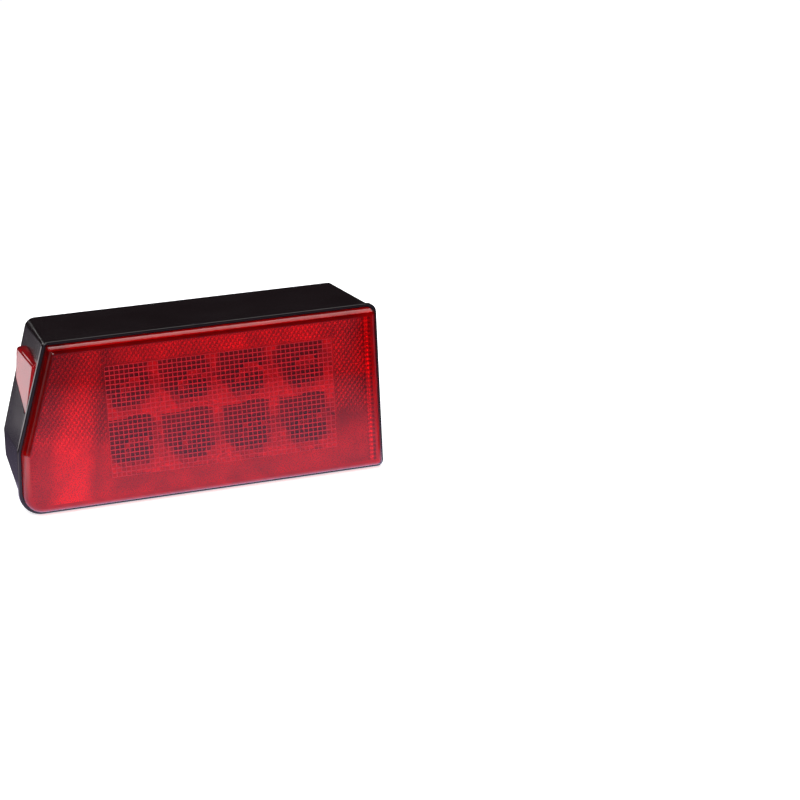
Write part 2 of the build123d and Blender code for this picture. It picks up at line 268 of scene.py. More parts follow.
class Shader:
    """One node material, with short calls for the nodes that it is made from. Places are in metres."""

    def __init__(self, name):
        self.material = bpy.data.materials.new(name)
        self.material.use_nodes = True
        self.tree = self.material.node_tree
        self.tree.nodes.clear()
        self.place = self.add("TexCoord").outputs["Object"]

    def add(self, kind, settings=None, **inputs):
        """A node with its settings, and its inputs given by name or as in0, in1."""
        node = self.tree.nodes.new("ShaderNode" + kind)
        for key, value in (settings or {}).items():
            setattr(node, key, value)
        for key, value in inputs.items():
            numbered = key.startswith("in") and key[2:].isdigit()
            socket = node.inputs[int(key[2:])] if numbered else node.inputs[key.replace("_", " ")]
            self.put(socket, value)
        return node

    def put(self, socket, value):
        """Link a socket, or set its value."""
        if isinstance(value, bpy.types.NodeSocket):
            self.tree.links.new(value, socket)
        elif isinstance(value, (tuple, list)) and socket.type == "RGBA" and len(value) == 3:
            socket.default_value = (*value, 1.0)
        else:
            socket.default_value = value

    def axes(self, vector):
        """The x, y and z of a vector."""
        return self.add("SeparateXYZ", Vector=vector).outputs[:]

    def facing(self):
        """The direction of the mesh's own face."""
        return self.add("NewGeometry").outputs["True Normal"]

    def noise(self, scale, detail=3.0, rough=0.55, at=None):
        """Soft noise, from 0 to 1, with this many features in a metre."""
        node = self.add("TexNoise", Vector=at or self.place, Scale=scale, Detail=detail, Roughness=rough)
        return node.outputs["Fac"]

    def ramp(self, value, *stops):
        """Colours along a value, each stop a place and a colour."""
        node = self.add("ValToRGB", in0=value)
        elements = node.color_ramp.elements
        while len(elements) < len(stops):
            elements.new(0.5)
        for element, (place, colour) in zip(elements, stops):
            element.position = place
            element.color = (*colour, 1.0)
        return node.outputs["Color"]

    def levels(self, value, *stops):
        """Greys along a value, each stop a place and a level."""
        return self.ramp(value, *[(place, grey(level)) for place, level in stops])

    def math(self, operation, first, second=0.0, third=0.0):
        """One Math node."""
        return self.add("Math", {"operation": operation}, in0=first, in1=second, in2=third).outputs[0]

    def times(self, first, *others):
        """The product of several values."""
        for other in others:
            first = self.math("MULTIPLY", first, other)
        return first

    def spread(self, value, low, high, start=0.0, end=1.0):
        """A value moved from start..end to low..high."""
        return self.add("MapRange", in0=value, in1=start, in2=end, in3=low, in4=high).outputs[0]

    def distance(self, first, second):
        """The length of two steps taken at right angles."""
        squares = [self.math("MULTIPLY", step, step) for step in (first, second)]
        return self.math("SQRT", self.math("ADD", *squares))

    def tone(self, value):
        """A grey from a value."""
        return self.add("CombineColor", in0=value, in1=value, in2=value).outputs[0]

    def blend(self, factor, first, second, kind="MIX"):
        """Two colours mixed by a factor."""
        return self.add("MixRGB", {"blend_type": kind}, in0=factor, in1=first, in2=second).outputs[0]

    def bump(self, height, depth, strength=1.0, under=None):
        """A normal from a height, with its depth in metres."""
        node = self.add("Bump", Height=height, Distance=depth, Strength=strength)
        if under is not None:
            self.put(node.inputs["Normal"], under)
        return node.outputs["Normal"]

    def surface(self, colour, roughness, normal=None, **others):
        """A Principled shader with these inputs."""
        node = self.add("BsdfPrincipled", Base_Color=colour, Roughness=roughness, **others)
        if normal is not None:
            self.put(node.inputs["Normal"], normal)
        return node.outputs[0]

    def see_through(self, shader, tint):
        """The same shader, but light from the lamps passes it with a tint."""
        path = self.add("LightPath").outputs["Is Shadow Ray"]
        clear = self.add("BsdfTransparent", Color=tint).outputs[0]
        return self.add("MixShader", in0=path, in1=shader, in2=clear).outputs[0]

    def done(self, shader):
        """Connect the shader and give back the material."""
        self.tree.links.new(shader, self.add("OutputMaterial").inputs["Surface"])
        return self.material


# ---------------------------------------------------------------- plastics, rubber, metal and boards
def black_plastic():
    """Satin black moulded plastic with a fine grain and faint flow marks."""
    s = Shader("black_plastic")
    broad = s.noise(24.0, 4.0)
    grain = s.noise(2600.0, 2.0)
    colour = s.ramp(broad, (0.3, (0.0030, 0.0016, 0.0020)), (0.75, (0.0052, 0.0030, 0.0038)))
    unevenness = s.math("ADD", s.times(broad, 0.6), s.times(grain, 0.4))
    roughness = s.spread(unevenness, 0.11, 0.24, 0.25, 0.75)
    flow = s.bump(s.noise(55.0, 2.0), 0.0004, 0.12)
    return s.done(s.surface(colour, roughness, s.bump(grain, 0.00002, 0.07, flow), IOR=1.5))


def clear_plastic():
    """Clear window plastic with fine flutes inside."""
    s = Shader("clear_plastic")
    wave = {"bands_direction": "X"}
    flutes = s.add("TexWave", wave, Vector=s.place, Scale=160.0, Distortion=0.4, Detail=1.0).outputs["Fac"]
    colour = s.blend(s.noise(45.0), (0.93, 0.95, 0.95), (0.86, 0.89, 0.90))
    roughness = s.spread(s.noise(500.0), 0.04, 0.14)
    glass = s.surface(colour, roughness, s.bump(flutes, 0.0004, 0.5), Transmission_Weight=1.0, IOR=1.49)
    return s.done(s.see_through(glass, (0.9, 0.92, 0.92)))


def resin_dome():
    """Clear cast resin over an LED, with tiny swirls."""
    s = Shader("led_resin")
    colour = s.blend(s.noise(260.0), (0.98, 0.93, 0.90), (0.90, 0.84, 0.80))
    roughness = s.spread(s.noise(700.0), 0.02, 0.07)
    glass = s.surface(colour, roughness, Transmission_Weight=1.0, IOR=1.46)
    return s.done(s.see_through(glass, (0.92, 0.88, 0.86)))


def rubber():
    """Matt black rubber with a dry, slightly dusty surface."""
    s = Shader("seal_rubber")
    dust = s.noise(180.0, 5.0)
    colour = s.ramp(dust, (0.35, (0.010, 0.010, 0.011)), (0.8, (0.032, 0.031, 0.031)))
    normal = s.bump(s.noise(1400.0, 4.0), 0.00006, 0.6)
    return s.done(s.surface(colour, s.spread(dust, 0.6, 0.85), normal, Specular_IOR_Level=0.35))


def metal(name, dark, light, rough_low, rough_high, scale=300.0):
    """Bare or plated metal with mottled colour, fine scratches and uneven polish."""
    s = Shader(name)
    mottle = s.noise(scale, 5.0, 0.6)
    stretch = s.add("Mapping", Vector=s.place, Scale=(1.0, 9.0, 1.0)).outputs[0]
    scratch = s.noise(scale * 3.0, 3.0, 0.6, stretch)
    colour = s.ramp(mottle, (0.3, dark), (0.7, light))
    roughness = s.spread(scratch, rough_low, rough_high, 0.3, 0.7)
    normal = s.bump(s.math("ADD", scratch, mottle), 0.00003, 0.4)
    return s.done(s.surface(colour, roughness, normal, Metallic=1.0))


def plastic(name, dark, light, rough_low, rough_high, scale=400.0):
    """Small moulded parts: a mottled colour, uneven gloss and a fine pitted surface."""
    s = Shader(name)
    colour = s.ramp(s.noise(scale, 4.0), (0.3, dark), (0.7, light))
    roughness = s.spread(s.noise(scale * 2.2, 3.0), rough_low, rough_high, 0.3, 0.7)
    normal = s.bump(s.noise(scale * 5.0, 3.0), 0.00003, 0.5)
    return s.done(s.surface(colour, roughness, normal, IOR=1.5))


def board_green():
    """Green solder mask over copper tracks, with a light weave and a few bare pads."""
    s = Shader("solder_mask")
    track_scale = 150.0
    maps = []
    for feature in ("DISTANCE_TO_EDGE", "F1"):
        node = s.add("TexVoronoi", {"feature": feature}, Vector=s.place, Scale=track_scale, Randomness=0.55)
        maps.append(node.outputs[0])
    tracks = s.levels(maps[0], (0.04, 1.0), (0.07, 0.0))
    pad = s.levels(maps[1], (0.13, 1.0), (0.15, 0.0))
    weave = s.add("TexChecker", Vector=s.place, Scale=1400.0).outputs["Fac"]
    mask = s.blend(s.noise(60.0), (0.006, 0.085, 0.030), (0.010, 0.130, 0.045))
    mask = s.blend(tracks, mask, (0.030, 0.230, 0.085))
    colour = s.blend(pad, mask, (0.78, 0.62, 0.34))
    roughness = s.spread(s.noise(500.0), 0.22, 0.42)
    normal = s.bump(s.math("ADD", tracks, s.times(weave, 0.15)), 0.00004, 0.7)
    return s.done(s.surface(colour, roughness, normal, Metallic=s.spread(pad, 0.0, 0.9)))


# ---------------------------------------------------------------- red lens plastics
# Overall levels of the painted light and shade on the prisms and on the rim
reflex_brightness = 3.57
rim_brightness = 0.52


def red_glass(name, tint, shadow_tint, flow, clear=1.0):
    """Clear red plastic with faint flow lines, in a colour that deepens here and there."""
    s = Shader(name)
    deeper = tuple(c * 0.82 for c in tint)
    colour = s.blend(s.spread(s.noise(30.0, 3.0), 0.0, 0.35), tint, deeper)
    roughness = s.spread(s.noise(420.0, 3.0), 0.015, 0.05, 0.3, 0.7)
    normal = s.bump(s.noise(flow, 2.0), 0.0003, 0.06)
    glass = s.surface(colour, roughness, normal, Transmission_Weight=clear, IOR=1.49)
    return s.done(s.see_through(glass, shadow_tint))


def painted_reflex_bands(s, x, z):
    """Painted light and shade: leaning bright and dark bands across the field of prisms, painted brighter low
    down on the outer side.
    """
    lean = s.math("MULTIPLY_ADD", z, -0.15, x)
    painted_band = s.levels(
        s.spread(lean, 0.0, 1.0, -0.100, 0.100),
        (0.00, 0.46),
        (0.09, 0.50),
        (0.158, 0.96),
        (0.190, 0.95),
        (0.222, 0.48),
        (0.30, 0.60),
        (0.80, 0.56),
        (0.90, 0.44),
        (1.00, 0.46),
    )
    # painted light: brighter low down on the outer side, and a little brighter higher up inboard
    outer = s.spread(z, 1.10, 0.52, -0.015, 0.022)
    inner = s.spread(z, 0.92, 1.06, -0.036, 0.036)
    height = s.blend(s.spread(x, 0.0, 1.0, -0.055, -0.020), s.tone(outer), s.tone(inner))
    return s.times(painted_band, height)


def painted_facet_shading(s, x, flat):
    """Painted shading: facets leaning along one diagonal are painted brighter. Flat faces are even, and are
    painted brighter inboard.
    """
    # painted shading: the brightness follows which way each facet faces
    lean = s.add("VectorMath", {"operation": "DOT_PRODUCT"}, in0=s.facing(), in1=(-0.75, 0.0, 0.66))
    facet_shade = s.spread(s.math("ABSOLUTE", lean.outputs["Value"]), 0.76, 1.16, 0.05, 0.60)
    facet_shade = s.blend(s.spread(x, 0.22, 0.55, -0.060, -0.045), s.tone(facet_shade), grey(0.95))
    return s.blend(flat, facet_shade, s.tone(s.spread(x, 1.0, 1.22, 0.050, 0.072)))


def painted_bead_glints(s, x, z):
    """A column of beads near the inner end, between two dark lines, with painted highlights in a wave along
    the beads.
    """
    left = bead_low[0]
    across = s.spread(x, 0.0, 1.0, (left - 2.5) * MM, (left + 3.5) * MM)
    column = s.levels(across, (0.30, 0.30), (0.40, 0.90), (0.66, 0.90), (0.72, 0.28))
    # painted highlights: a wave of brightness along the beads
    wave = s.math("SINE", s.times(z, 2.0 * math.pi / (bead_glint_wave * MM)))
    inside = s.spread(x, 0.0, 1.0, (left - 1.3) * MM, (left - 0.9) * MM)
    beads = s.blend(inside, grey(1.0), s.tone(s.spread(wave, 0.48, 1.0, -0.5, 0.5)))
    return s.times(column, beads)


def reflex_red():
    """The back of the lens where prisms send light back, with painted bright and dark bands, painted shading
    on the facets and painted highlights on the beads.
    """
    s = Shader("lens_reflex")
    x, _, z = s.axes(s.place)
    flat = s.spread(s.math("ABSOLUTE", s.axes(s.facing())[1]), 0.0, 1.0, 0.94, 0.98)
    blotch = s.spread(s.noise(70.0, 3.0), 0.74, 1.26, 0.3, 0.7)
    beads = s.times(painted_bead_glints(s, x, z), reflex_brightness)
    level = s.times(painted_reflex_bands(s, x, z), blotch, painted_facet_shading(s, x, flat), beads)
    colour = s.blend(1.0, (1.0, 0.035, 0.045), s.tone(level), "MULTIPLY")
    grain = s.noise(1500.0, 2.0)
    roughness = s.spread(grain, 0.20, 0.42, 0.3, 0.7)
    normal = s.bump(grain, 0.00003, 0.5)
    return s.done(s.surface(colour, roughness, normal, Metallic=s.spread(flat, 0.35, 0.72)))


def rib_red():
    """The narrow ribs between the lens pillows, which scatter a little light."""
    s = Shader("lens_rib")
    colour = s.ramp(s.noise(600.0, 3.0), (0.3, (0.50, 0.42, 0.46)), (0.7, (0.80, 0.72, 0.76)))
    return s.done(s.surface(colour, s.spread(s.noise(900.0), 0.35, 0.6)))


def painted_rim_shading():
    """The inner side of the lens's rim, deep red, with painted light and shade: brighter low down, on upward
    faces near the top and at the inner end, and darker on the outer side above the kink.
    """
    s = Shader("lens_rim")
    x, _, z = s.axes(s.place)
    upward = s.math("ABSOLUTE", s.axes(s.facing())[2])
    # painted light: upward faces are painted brighter, more so higher up; painted shade on the outer side
    # above the kink
    lift = s.times(s.spread(upward, 0.0, 1.0, 0.25, 0.75), s.spread(z, 0.7, 1.9, -0.045, 0.040))
    kink = (bottom + kink_height) * MM
    above_kink = s.spread(z, 0.0, 1.0, kink - 0.0022, kink + 0.0013)
    outer_side = s.spread(x, 1.0, 0.0, -0.073, -0.068)
    shade = s.math("MULTIPLY_ADD", s.times(above_kink, outer_side), -0.5, 1.0)
    height = s.times(s.spread(z, 0.95, 0.26, -0.045, 0.040), s.math("ADD", lift, 1.0), shade)
    inner_end = s.spread(x, 0.0, 0.30, 0.085, 0.095)
    blotch = s.spread(s.noise(90.0, 3.0), 0.8, 1.2, 0.3, 0.7)
    level = s.times(s.math("ADD", height, inner_end), s.times(blotch, rim_brightness))
    colour = s.blend(1.0, (1.0, 0.02, 0.03), s.tone(level), "MULTIPLY")
    return s.done(s.surface(colour, s.spread(s.noise(800.0), 0.3, 0.5)))


# ---------------------------------------------------------------- LED lenses and bright plating
def cell_offsets(s, shift=(0.0, 0.0)):
    """How far a point is from its own LED, with the LEDs moved by a shift: across and up, in millimetres."""
    x, _, z = s.axes(s.place)
    offsets = []
    for place, middle, moved, pitch in zip((x, z), cup_centre, shift, cup_pitch):
        turns = s.math("MULTIPLY_ADD", place, 1.0 / (pitch * MM), 0.5 - (middle + moved) / pitch)
        offsets.append(s.times(s.math("SUBTRACT", s.math("FRACT", turns), 0.5), pitch))
    return offsets


def painted_ring_highlight(s, offsets, radius, strength, edges, faintest, full_at):
    """A painted highlight ring round each LED, brightest on its upper side."""
    across, up = offsets
    away = s.math("ABSOLUTE", s.math("SUBTRACT", s.distance(across, up), radius))
    ring = s.spread(away, strength, 0.0, *edges)
    upper = s.spread(s.math("MULTIPLY_ADD", across, highlight_skew, up), faintest, 1.0, -2.0, full_at)
    return s.times(ring, upper)


def lamp_dome():
    """The large LED's lens, coloured dark, with a painted highlight ring near its rim."""
    s = Shader("led_lens")
    dark = s.ramp(s.noise(500.0, 3.0), (0.3, (0.05, 0.045, 0.05)), (0.7, (0.11, 0.10, 0.10)))
    # painted highlight: a pale ring, brightest on its upper side
    ring = painted_ring_highlight(s, cell_offsets(s), dome_highlight_radius, 0.35, (0.4, 0.75), 0.1, 2.0)
    colour = s.blend(ring, dark, (0.92, 0.88, 0.88))
    return s.done(s.surface(colour, s.spread(s.noise(700.0), 0.12, 0.25), IOR=1.46))


def cup_shadow(s):
    """0 in each cup's dark area of painted shade, 1 outside it: a fixed mask, rounded below, with a ragged
    edge.
    """
    across, up = cell_offsets(s, dark_shift)
    below = s.math("MAXIMUM", s.math("SUBTRACT", dark_foot, up), 0.0)
    across = s.math("MULTIPLY_ADD", below, dark_skew, across)
    wander = s.spread(s.noise(120.0, 3.0), -3.2, 1.6, 0.3, 0.7)
    reach = s.math("ADD", s.distance(across, below), wander)
    return s.spread(reach, 0.0, 1.0, *dark_edge)


def bright_plating():
    """Plating on the reflector: silvery, with painted shade in each cup's dark area and towards the top of
    each cell, and a painted highlight ring round each LED.
    """
    s = Shader("bright_plating")
    offsets = cell_offsets(s)
    # painted shade: the plate is painted darker towards the top of each cell
    fall = s.spread(offsets[1], 1.0, 0.74, -12.0, 12.0)
    sparkle = s.ramp(s.noise(330.0, 2.0), (0.36, (0.70, 0.68, 0.70)), (0.62, (1.0, 0.98, 1.0)))
    plate = s.blend(1.0, sparkle, s.tone(fall), "MULTIPLY")
    # painted shade: the dark colour inside each cup's dark area
    cup = s.ramp(s.noise(90.0, 4.0), (0.3, (0.09, 0.08, 0.09)), (0.7, (0.18, 0.16, 0.17)))
    colour = s.blend(cup_shadow(s), cup, plate)
    # painted highlight: a ring round each LED, brightest on its upper side
    ring = painted_ring_highlight(s, offsets, cup_highlight_radius, 1.0, (0.55, 0.85), 0.0, 3.0)
    colour = s.blend(ring, colour, (0.90, 0.86, 0.88))
    roughness = s.spread(s.noise(260.0, 3.0), 0.24, 0.38, 0.3, 0.7)
    return s.done(s.surface(colour, roughness, s.bump(s.noise(150.0, 2.0), 0.0001, 0.25), Metallic=0.15))


# ---------------------------------------------------------------- mesh helpers
def place_piece(mesh, name, replaced):
    """An object for a mesh in metres, which rides on the lamp and replaces a CAD node."""
    piece = bpy.data.objects.new(name, mesh)
    bpy.context.scene.collection.objects.link(piece)
    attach(piece, "root")
    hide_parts(replaced)


def lathe_piece(name, replaced, vertices, faces, material, angle):
    """A smooth piece from points in millimetres, with sharp edges above an angle in degrees."""
    mesh = bpy.data.meshes.new(name)
    mesh.from_pydata([tuple(c * MM for c in v) for v in vertices], [], faces)
    mesh.materials.append(material)
    mesh.validate()
    bm = bmesh.new()
    bm.from_mesh(mesh)
    bmesh.ops.remove_doubles(bm, verts=bm.verts, dist=1e-7)
    bmesh.ops.recalc_face_normals(bm, faces=bm.faces)
    bm.to_mesh(mesh)
    bm.free()
    mesh.shade_smooth()
    mesh.set_sharp_from_angle(angle=math.radians(angle))
    place_piece(mesh, name, replaced)


def finish_piece(bm, name, replaced, materials, angle):
    """A piece from a closed bmesh in millimetres, with sharp edges above an angle in degrees."""
    bmesh.ops.scale(bm, vec=(MM, MM, MM), verts=bm.verts)
    bmesh.ops.recalc_face_normals(bm, faces=bm.faces)
    if bm.calc_volume(signed=True) < 0:
        bmesh.ops.reverse_faces(bm, faces=bm.faces)
    mesh = bpy.data.meshes.new(name)
    bm.to_mesh(mesh)
    bm.free()
    for material in materials:
        mesh.materials.append(material)
    mesh.set_sharp_from_angle(angle=math.radians(angle))
    place_piece(mesh, name, replaced)


def skin(bm, loops, material=0):
    """Smooth quads between each loop of points and the next."""
    for near, far in zip(loops, loops[1:]):
        for k in range(len(near)):
            onward = (k + 1) % len(near)
            face = bm.faces.new((near[k], near[onward], far[onward], far[k]))
            face.material_index = material
            face.smooth = True
    return loops


def turned(bm, x, z, profile):
    """Skin a profile of radius and depth, turned about an axis that runs front to back."""
    loops = []
    angles = [2 * math.pi * k / turned_sides for k in range(turned_sides)]
    for radius, y in profile:
        loops.append([bm.verts.new((x + radius * math.cos(a), y, z + radius * math.sin(a))) for a in angles])
    return skin(bm, loops)


def fill_plane(bm, y):
    """Fill the flat face at this depth, leaving its holes open."""
    open_edges = [e for e in bm.edges if len(e.link_faces) == 1]
    edges = [e for e in open_edges if all(abs(v.co.y - y) < 1e-4 for v in e.verts)]
    filled = bmesh.ops.triangle_fill(bm, use_beauty=True, edges=edges)
    return [item for item in filled["geom"] if isinstance(item, bmesh.types.BMFace)]


# ---------------------------------------------------------------- main lens
GLASS, REFLEX, RIB, EDGE = 0, 1, 2, 3


def lens_rings(bm, profile, material):
    """Skin the lens's rounded outline along a profile of inset and depth."""
    loops = [[bm.verts.new((x, y, z)) for x, z in front_ring(distance)] for distance, y in profile]
    return skin(bm, loops, material)


def pillow_lines(start, size, count, half_rib):
    """Mesh lines across a row of pillows: a rib, the pillow's own lines, and the next rib."""
    lines = [start]
    room = size - 2 * half_rib
    for cell in range(count):
        first = start + cell * size + half_rib
        lines += [first + room * step / pillow_steps for step in range(pillow_steps + 1)]
    lines.append(start + count * size)
    return lines


def pillow_share(index, count):
    """How high a mesh line stands on its pillow, from 0 at a rib to 1."""
    if index in (0, count - 1):
        return 0.0
    step = (index - 1) % (pillow_steps + 1)
    return 1.0 - (2.0 * step / pillow_steps - 1.0) ** 2


def add_pillows(bm, low, size, counts, height, crown, rib):
    """A field of pillows on the back of the lens, with flat ribs between them."""
    xs = pillow_lines(low[0], size[0], counts[0], rib_half[0])
    zs = pillow_lines(low[1], size[1], counts[1], rib_half[1])
    rows = []
    for k, z in enumerate(zs):
        rise_z = pillow_share(k, len(zs))
        row = []
        for i, x in enumerate(xs):
            row.append(bm.verts.new((x, inner_face + height * rise_z * pillow_share(i, len(xs)), z)))
        rows.append(row)
    for k in range(len(zs) - 1):
        rib_z = k % (pillow_steps + 1) == 0
        for i in range(len(xs) - 1):
            rib_x = i % (pillow_steps + 1) == 0
            face = bm.faces.new((rows[k][i], rows[k][i + 1], rows[k + 1][i + 1], rows[k + 1][i]))
            face.material_index = rib if rib_x or rib_z else crown
            face.smooth = not (rib_x or rib_z)


def prism_field(part, low, high):
    """Diamond prisms over a box: every other point of a grid stands up."""
    count_x = int((high[0] - low[0]) / prism_step[0])
    count_z = int((high[1] - low[1]) / prism_step[1])
    step_x = (high[0] - low[0]) / count_x
    step_z = (high[1] - low[1]) / count_z
    rows = []
    for k in range(count_z + 1):
        z = low[1] + k * step_z
        fade = min(max((z + fade_height) / fade_height, least_prism), 1.0)
        row = []
        for i in range(count_x + 1):
            rise = prism_height * fade if (i + k) % 2 else prism_floor
            row.append(part.verts.new((low[0] + i * step_x, inner_face + rise, z)))
        rows.append(row)
    for k in range(count_z):
        for i in range(count_x):
            a, b, c, d = rows[k][i], rows[k][i + 1], rows[k + 1][i + 1], rows[k + 1][i]
            split = ((a, b, c), (a, c, d)) if (i + k) % 2 == 0 else ((a, b, d), (b, c, d))
            for corners in split:
                part.faces.new(corners)


def cut_to_outline(part, outline):
    """Cut away what lies outside a convex outline of x and z, listed clockwise."""
    for i, here in enumerate(outline):
        start = Vector(here)
        along = Vector(outline[(i + 1) % len(outline)]) - start
        if along.length < 1e-6:
            continue
        outward = Vector((-along.y, 0.0, along.x)).normalized()
        geometry = part.verts[:] + part.edges[:] + part.faces[:]
        bmesh.ops.bisect_plane(
            part, geom=geometry, dist=1e-5, plane_co=(start.x, 0, start.y), plane_no=outward, clear_outer=True
        )
    bmesh.ops.remove_doubles(part, verts=part.verts, dist=1e-4)


def add_prisms(bm, low, high, outline):
    """Diamond prisms over a box, cut to an outline, with upright edges down to the flat."""
    part = bmesh.new()
    prism_field(part, low, high)
    cut_to_outline(part, outline)
    border = [edge for edge in part.edges if len(edge.link_faces) == 1]
    for item in bmesh.ops.extrude_edge_only(part, edges=border)["geom"]:
        if isinstance(item, bmesh.types.BMVert):
            item.co.y = inner_face
    for face in part.faces:
        face.material_index = REFLEX
        face.smooth = False
    mesh = bpy.data.meshes.new("prisms")
    part.to_mesh(mesh)
    part.free()
    bm.from_mesh(mesh)
    bpy.data.meshes.remove(mesh)


def add_lens_shell(bm):
    """The lens's skirt, soft bevel and flat front face. Gives back how far in the skirt's inner wall is."""
    inner = lens_edge + lens_wall
    chamfer_in, chamfer_deep = rim_chamfer
    inside = [(inner + flat_border, inner_face), (inner + chamfer_in, inner_face)]
    inside += [(inner, inner_face + chamfer_deep), (inner, skirt_back), (lens_edge, skirt_back)]
    lens_rings(bm, inside, EDGE)
    slope = bevel - crease
    radius = slope / (1.0 - math.cos(shoulder_turn))
    start = lens_front + radius * math.sin(shoulder_turn) + crease
    outside = [(lens_edge, skirt_back)]
    for step in range(shoulder_steps + 1):
        turn = shoulder_turn * step / shoulder_steps
        outside.append((lens_edge + radius * (1.0 - math.cos(turn)), start - radius * math.sin(turn)))
    outside.append((lens_edge + slope + 0.12, lens_front + 0.04))
    outside.append((lens_edge + slope + 2.0 * crease, lens_front))
    front = bm.faces.new(lens_rings(bm, outside, GLASS)[-1])
    front.material_index = GLASS
    return inner


def make_main_lens(materials):
    """The red lens: a shell, with pillows, prisms and a column of beads moulded behind its face."""
    bm = bmesh.new()
    inner = add_lens_shell(bm)
    add_pillows(bm, grid_low, cell_size, cell_count, pillow_height, GLASS, RIB)
    grid_high = [low + size * count for low, size, count in zip(grid_low, cell_size, cell_count)]
    limit = front_ring(inner + prism_border)
    zones = [
        ((-100.0, bottom), (grid_low[0] - prism_gap, top)),
        ((grid_high[0] + prism_gap, bottom), (prism_right, top)),
        ((grid_low[0] - prism_overlap, grid_high[1] + prism_gap), (grid_high[0] + prism_overlap, top)),
    ]
    for low, high in zones:
        corners = [(low[0], low[1]), (low[0], high[1]), (high[0], high[1]), (high[0], low[1])]
        add_prisms(bm, low, high, clipped(limit, corners))
    add_pillows(bm, bead_low, bead_size, bead_count, bead_height, REFLEX, EDGE)
    bmesh.ops.remove_doubles(bm, verts=bm.verts, dist=1e-4)
    for face in fill_plane(bm, inner_face):
        face.material_index = REFLEX
    finish_piece(bm, "main_lens_moulding", "main_lens", materials, 32.0)


# ---------------------------------------------------------------- reflector and side marker
def bowl_radius(share):
    """How wide a cup is at this share of its depth."""
    return math.sqrt(bowl_mouth**2 + (bowl_foot**2 - bowl_mouth**2) * share)


def make_reflector(material):
    """The reflector: a plate with a bowl and a raised collar around each LED, an apron and two pegs."""
    low, high = number_box("reflector")
    front = low[1]
    rear = front + reflector_plate
    back = number_box("main_board")[0][1]
    deep = back - front
    shares = [k / bowl_steps for k in range(1, bowl_steps + 1)]
    inside = [(bowl_mouth + 0.4, front), (bowl_mouth + 0.12, front + 0.1), (bowl_mouth, front + bowl_lip)]
    fall = deep - bowl_lip - bowl_gap
    inside += [(bowl_radius(share), front + bowl_lip + fall * share) for share in shares]
    inside += [(radius, back - rise) for radius, rise in collar]
    outside = []
    for share in reversed(shares):
        outside.append((bowl_radius(share) + reflector_wall, rear + (deep - reflector_plate) * share))
    outside.append((bowl_mouth + 0.3, rear))
    bm = bmesh.new()
    for column in range(led_counts[0]):
        for row in range(led_counts[1]):
            x = cup_centre[0] + column * cup_pitch[0]
            z = cup_centre[1] + row * cup_pitch[1]
            turned(bm, x, z, inside + outside)
    rows = zip(cup_centre, led_counts, cup_pitch)
    middle = [first + (count - 1) / 2 * pitch for first, count, pitch in rows]
    peg = [(peg_radius, rear), (peg_radius, high[1] - peg_chamfer), (peg_radius - peg_chamfer, high[1])]
    for side in (-1, 1):
        bm.faces.new(turned(bm, middle[0] + side * cup_pitch[0], middle[1], peg)[-1])
    rims = []
    for y, margin in ((front, 0.0), (back, 0.0), (back, reflector_wall), (rear, reflector_wall)):
        left, right = low[0] + margin, high[0] - margin
        under, over = low[2] + margin, high[2] - margin
        corners = ((left, under), (right, under), (right, over), (left, over))
        rims.append([bm.verts.new((x, y, z)) for x, z in corners])
    skin(bm, rims)
    fill_plane(bm, front)
    fill_plane(bm, rear)
    finish_piece(bm, "cup_reflector", "reflector", [material], 30.0)


def body_wall_x(y, z):
    """Where the slanted outer wall of the body lies at this depth and height."""
    height = z - bottom
    at_back = -half + back_kink[0] + (height - back_kink[1]) * back_slant[0] / back_slant[1]
    slant = end_slant / (lamp_height - kink_height)
    at_bezel = -half + end_lean + bezel_lip + (height - kink_height) * slant
    return at_back + (at_bezel - at_back) * y / (housing_low[1] + bezel_thickness)


def make_side_marker(material):
    """The side marker: a red block with a broad rounded edge, let into the slanted end and open inside."""
    low, high = number_box("side_marker_lens")
    front, upper = low[1], high[2]
    corners = [
        (front, upper),
        (front + marker_lengths[0], upper),
        (front + marker_lengths[1], upper - marker_heights[0]),
        (front, upper - marker_heights[1]),
    ]
    bm = bmesh.new()

    def ring(margin, place):
        radii = [max(radius - margin, 0.5) for radius in marker_radii]
        return [bm.verts.new((place(y, z), y, z)) for y, z in rounded(inset(corners, margin), radii, 6)]

    def face_x(depth):
        return lambda y, z: low[0] + (z - low[2]) * math.tan(marker_tilt) + depth

    def floor_x(y, z):
        return min(body_wall_x(y, z) + marker_recess, high[0])

    across, deep = marker_rounding
    loops = [ring(across + crease, face_x(0.0))]
    for step in range(marker_steps + 1):
        turn = math.pi / 2 * step / marker_steps
        loops.append(ring(across * (1.0 - math.sin(turn)), face_x(deep * (1.0 - math.cos(turn)))))
    loops += [ring(0.0, floor_x), ring(marker_wall, floor_x), ring(marker_wall, face_x(marker_wall))]
    skin(bm, loops)
    bm.faces.new(loops[0])
    bm.faces.new(loops[-1])
    finish_piece(bm, "side_marker_block", "side_marker_lens", [material], 40.0)


